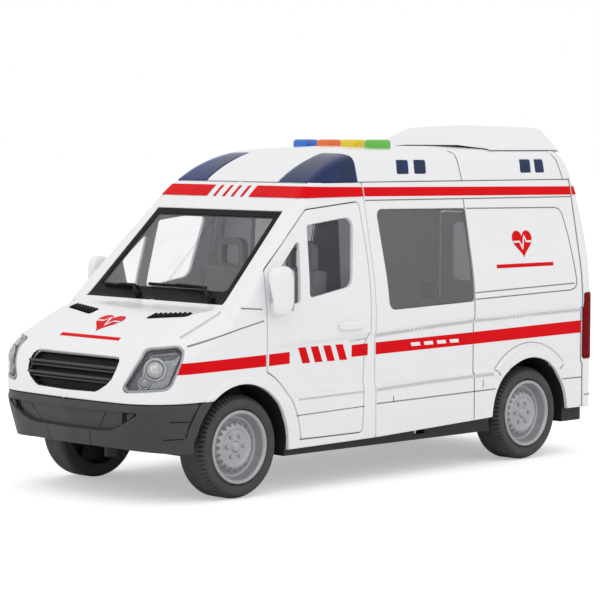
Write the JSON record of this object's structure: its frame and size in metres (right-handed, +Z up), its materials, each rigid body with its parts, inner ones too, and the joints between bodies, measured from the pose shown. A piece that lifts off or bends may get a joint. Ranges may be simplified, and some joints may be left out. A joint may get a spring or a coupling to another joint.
{
  "type": "toy_ambulance",
  "caption": "toy ambulance van with opening cab and rear doors, roof sound buttons and a friction drive on the rear axle",
  "frame": {"origin": "on the ground under the middle of the van", "axes": "+X is the front of the van, +Y its left side, +Z up"},
  "size_m": [0.265, 0.1164, 0.1464],
  "materials": {
    "shell_white": "gloss",
    "couch_white": "satin",
    "bumper_grey": "satin",
    "chassis_black": "matte",
    "trim_black": "satin",
    "clear_glass": "clear",
    "tinted_glass": "tinted",
    "reflector_chrome": "polished",
    "blue_lens": "tinted",
    "lamp_block": "gloss",
    "red_lens": "tinted",
    "interior_grey": "satin",
    "board_green": "satin",
    "steel": "bright",
    "lead_red": "satin",
    "tyre_grey": "matte",
    "rim_silver": "satin",
    "gear_ivory": "satin",
    "button_blue": "gloss",
    "button_orange": "gloss",
    "button_yellow": "gloss",
    "button_green": "gloss"
  },
  "bodies": {
    "body": {"cab_shell": "shell_white", "side_panel_left": "shell_white", "side_panel_right": "shell_white", "rear_frame": "shell_white", "roof_shell": "shell_white", "roof_fairing": "shell_white", "treatment_couch": "couch_white", "front_bumper": "bumper_grey", "chassis_pan": "chassis_black", "battery_cover": "chassis_black", "gearbox_case": "chassis_black", "windscreen_surround": "trim_black", "wipers": "trim_black", "bonnet_vents": "trim_black", "grille": "trim_black", "steering_wheel": "trim_black", "speaker": "trim_black", "windscreen": "clear_glass", "headlight_lenses": "clear_glass", "side_windows": "tinted_glass", "headlight_reflectors": "reflector_chrome", "beacon_lenses": "blue_lens", "roof_window_lenses": "blue_lens", "beacon_lamps": "lamp_block", "tail_lights": "red_lens", "cab_tub": "interior_grey", "cab_seats": "interior_grey", "bulkhead": "interior_grey", "rear_deck": "interior_grey", "sound_board": "board_green", "switch_domes": "steel", "battery_cells": "steel", "case_screws": "steel", "battery_leads": "lead_red"},
    "front_wheels": {"front_axle": "steel", "front_tyre_left": "tyre_grey", "front_tyre_right": "tyre_grey", "front_rim_left": "rim_silver", "front_rim_right": "rim_silver"},
    "rear_wheels": {"rear_axle": "steel", "axle_gear": "gear_ivory", "rear_tyre_left": "tyre_grey", "rear_tyre_right": "tyre_grey", "rear_rim_left": "rim_silver", "rear_rim_right": "rim_silver"},
    "idler": {"idler_gear": "gear_ivory"},
    "flywheel": {"flywheel": "steel"},
    "cab_door_left": {"front_door_left": "shell_white", "mirror_left": "shell_white"},
    "cab_door_right": {"front_door_right": "shell_white", "mirror_right": "shell_white"},
    "tail_door_left": {"rear_door_left": "shell_white", "rear_glass_left": "tinted_glass"},
    "tail_door_right": {"rear_door_right": "shell_white", "rear_glass_right": "tinted_glass"},
    "button_blue": {"sound_button_blue": "button_blue"},
    "button_orange": {"sound_button_orange": "button_orange"},
    "button_yellow": {"sound_button_yellow": "button_yellow"},
    "button_green": {"sound_button_green": "button_green"}
  },
  "joints": [
    {"name": "front_axle_spin", "type": "hinge", "parent": "body", "child": "front_wheels", "pos_m": [0.0827, 0, 0.0203], "axis": [0, 1, 0], "continuous": true},
    {"name": "rear_axle_spin", "type": "hinge", "parent": "body", "child": "rear_wheels", "pos_m": [-0.0893, 0, 0.0203], "axis": [0, 1, 0], "continuous": true},
    {"name": "idler_spin", "type": "hinge", "parent": "body", "child": "idler", "pos_m": [-0.08149, 0, 0.02686], "axis": [0, 1, 0], "continuous": true},
    {"name": "flywheel_spin", "type": "hinge", "parent": "body", "child": "flywheel", "pos_m": [-0.07144, 0, 0.02863], "axis": [0, 1, 0], "continuous": true},
    {"name": "cab_door_left_hinge", "type": "hinge", "parent": "body", "child": "cab_door_left", "pos_m": [0.0685, 0.0501, 0.06], "axis": [0, 0, -1], "range_deg": [0, 50]},
    {"name": "tail_door_left_hinge", "type": "hinge", "parent": "body", "child": "tail_door_left", "pos_m": [-0.1314, 0.039, 0.068], "axis": [0, 0, -1], "range_deg": [0, 95]},
    {"name": "cab_door_right_hinge", "type": "hinge", "parent": "body", "child": "cab_door_right", "pos_m": [0.0685, -0.0501, 0.06], "axis": [0, 0, 1], "range_deg": [0, 50]},
    {"name": "tail_door_right_hinge", "type": "hinge", "parent": "body", "child": "tail_door_right", "pos_m": [-0.1314, -0.039, 0.068], "axis": [0, 0, 1], "range_deg": [0, 95]},
    {"name": "button_blue_press", "type": "slide", "parent": "body", "child": "button_blue", "axis": [0, 0, -1], "range_m": [0, 0.0012], "stiffness_N_per_m": 400, "springref_m": -0.001},
    {"name": "button_orange_press", "type": "slide", "parent": "body", "child": "button_orange", "axis": [0, 0, -1], "range_m": [0, 0.0012], "stiffness_N_per_m": 400, "springref_m": -0.001},
    {"name": "button_yellow_press", "type": "slide", "parent": "body", "child": "button_yellow", "axis": [0, 0, -1], "range_m": [0, 0.0012], "stiffness_N_per_m": 400, "springref_m": -0.001},
    {"name": "button_green_press", "type": "slide", "parent": "body", "child": "button_green", "axis": [0, 0, -1], "range_m": [0, 0.0012], "stiffness_N_per_m": 400, "springref_m": -0.001}
  ],
  "couplings": [
    {"joint": "idler_spin", "follows": "rear_axle_spin", "ratio": -2.4},
    {"joint": "flywheel_spin", "follows": "rear_axle_spin", "ratio": 5.76}
  ]
}
